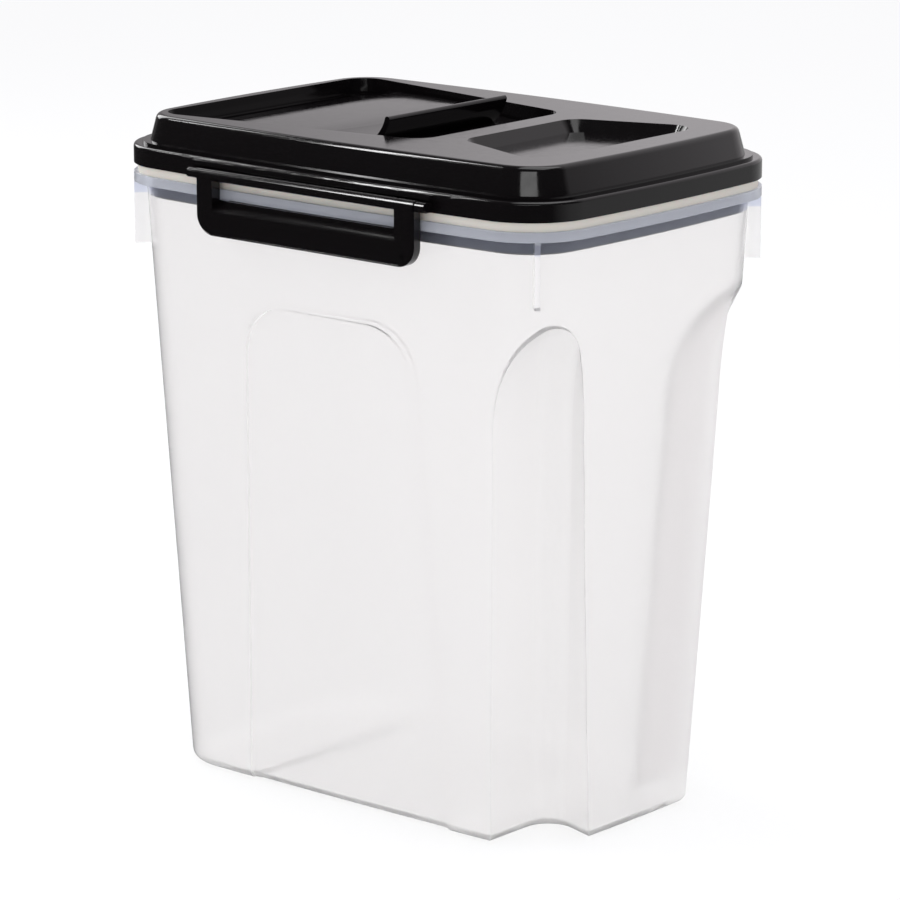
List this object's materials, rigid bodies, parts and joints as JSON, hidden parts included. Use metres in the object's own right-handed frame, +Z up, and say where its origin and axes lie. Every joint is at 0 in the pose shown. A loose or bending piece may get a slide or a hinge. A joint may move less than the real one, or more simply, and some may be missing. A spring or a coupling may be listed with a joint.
{
  "type": "pet food bin",
  "caption": "Airtight dry pet food bin: tapered clear tub with grip hollows, black lid with a hinged pour flap and pull tab, and wide clip latches on both long sides.",
  "frame": {"origin": "on the floor, under the middle of the bin's outline", "axes": "+X along the length towards the end with the grip hollows, -Y the front long side, +Z up"},
  "size_m": [0.276, 0.204, 0.3325],
  "materials": {
    "clear_tub": "clear satin polypropylene",
    "black_lid": "gloss",
    "black_latch": "gloss",
    "ivory_seal": "soft matte"
  },
  "bodies": {
    "tub": {"tub": "clear_tub"},
    "lid": {"lid": "black_lid", "lid_seal": "ivory_seal"},
    "flap": {"flap": "black_lid", "flap_seal": "ivory_seal"},
    "front_latch": {"front_latch": "black_latch"},
    "rear_latch": {"rear_latch": "black_latch"}
  },
  "joints": [
    {"name": "lid_lift", "type": "slide", "parent": "tub", "child": "lid", "axis": [0, 0, 1], "range_m": [0, 0.06]},
    {"name": "flap_hinge", "type": "hinge", "parent": "lid", "child": "flap", "pos_m": [-0.1135, 0, 0.3157], "axis": [0, -1, 0], "range_deg": [0, 90]},
    {"name": "front_latch_hinge", "type": "hinge", "parent": "lid", "child": "front_latch", "pos_m": [0, -0.0992, 0.3052], "axis": [-1, 0, 0], "range_deg": [0, 105]},
    {"name": "rear_latch_hinge", "type": "hinge", "parent": "lid", "child": "rear_latch", "pos_m": [0, 0.0992, 0.3052], "axis": [1, 0, 0], "range_deg": [0, 105]}
  ]
}
